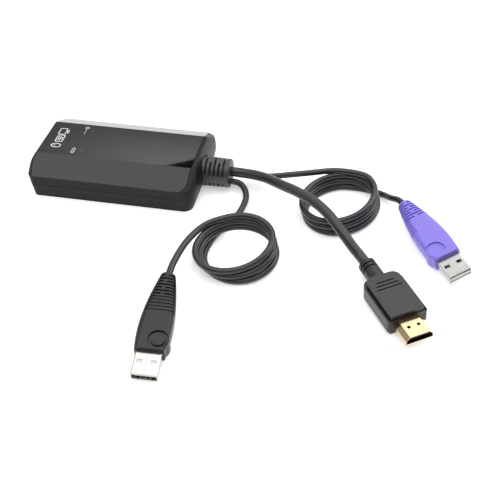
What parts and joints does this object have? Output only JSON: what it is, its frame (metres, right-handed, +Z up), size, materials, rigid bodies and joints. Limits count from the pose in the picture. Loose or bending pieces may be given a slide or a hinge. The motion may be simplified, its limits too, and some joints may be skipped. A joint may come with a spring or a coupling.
{
  "type": "kvm server dongle",
  "caption": "Low box with sloped long sides, a network socket at one end and a ribbed gland at the other carrying a display cord and coiled USB cords with plugs.",
  "frame": {"origin": "middle of the box's footprint, on the surface it stands on", "axes": "+X along the box from the network socket to the cords, +Y across the box, +Z up"},
  "size_m": [0.2418, 0.1791, 0.0201],
  "materials": {
    "case_plastic": "fine satin texture",
    "cover_plastic": "high gloss",
    "clear_plastic": "clear, smooth",
    "lamp_plastic": "milky, smooth",
    "screw_steel": "zinc plated",
    "board": "solder mask",
    "chip_resin": "moulded resin",
    "tin_plate": "tin plated",
    "capacitor_can": "drawn can",
    "ceramic_parts": "sintered",
    "white_plastic": "moulded",
    "socket_plastic": "moulded",
    "gold_contact": "gold plated",
    "gland_rubber": "soft moulded",
    "cord_jacket": "smooth soft jacket",
    "black_moulding": "satin moulding",
    "violet_moulding": "satin moulding",
    "nickel_shell": "bright nickel plate",
    "gold_shell": "gold plated",
    "black_resin": "moulded resin"
  },
  "bodies": {
    "root": {"tray_case": "case_plastic", "upper_case": "case_plastic", "gloss_cover": "cover_plastic", "indicator_rods": "clear_plastic", "board_lamps": "lamp_plastic", "case_screws": "screw_steel", "circuit_board": "board", "main_chip": "chip_resin", "video_chip": "chip_resin", "memory_chip": "chip_resin", "pulse_transformer": "chip_resin", "crystal_can": "tin_plate", "capacitors": "capacitor_can", "small_parts": "ceramic_parts", "cord_header": "white_plastic", "socket_body": "socket_plastic", "socket_shield": "tin_plate", "socket_pins": "gold_contact", "socket_lamps": "lamp_plastic", "gland": "gland_rubber", "inner_leads": "cord_jacket", "display_cord": "cord_jacket", "black_lead": "cord_jacket", "black_tail": "cord_jacket", "black_coil": "cord_jacket", "violet_lead": "cord_jacket", "violet_tail": "cord_jacket", "violet_coil": "cord_jacket", "black_mould": "black_moulding", "black_shell": "nickel_shell", "black_tongue": "white_plastic", "black_contacts": "gold_contact", "violet_mould": "violet_moulding", "violet_shell": "nickel_shell", "violet_tongue": "white_plastic", "violet_contacts": "gold_contact", "display_mould": "black_moulding", "display_shell": "gold_shell", "display_insert": "black_resin", "display_contacts": "gold_contact"}
  },
  "joints": []
}
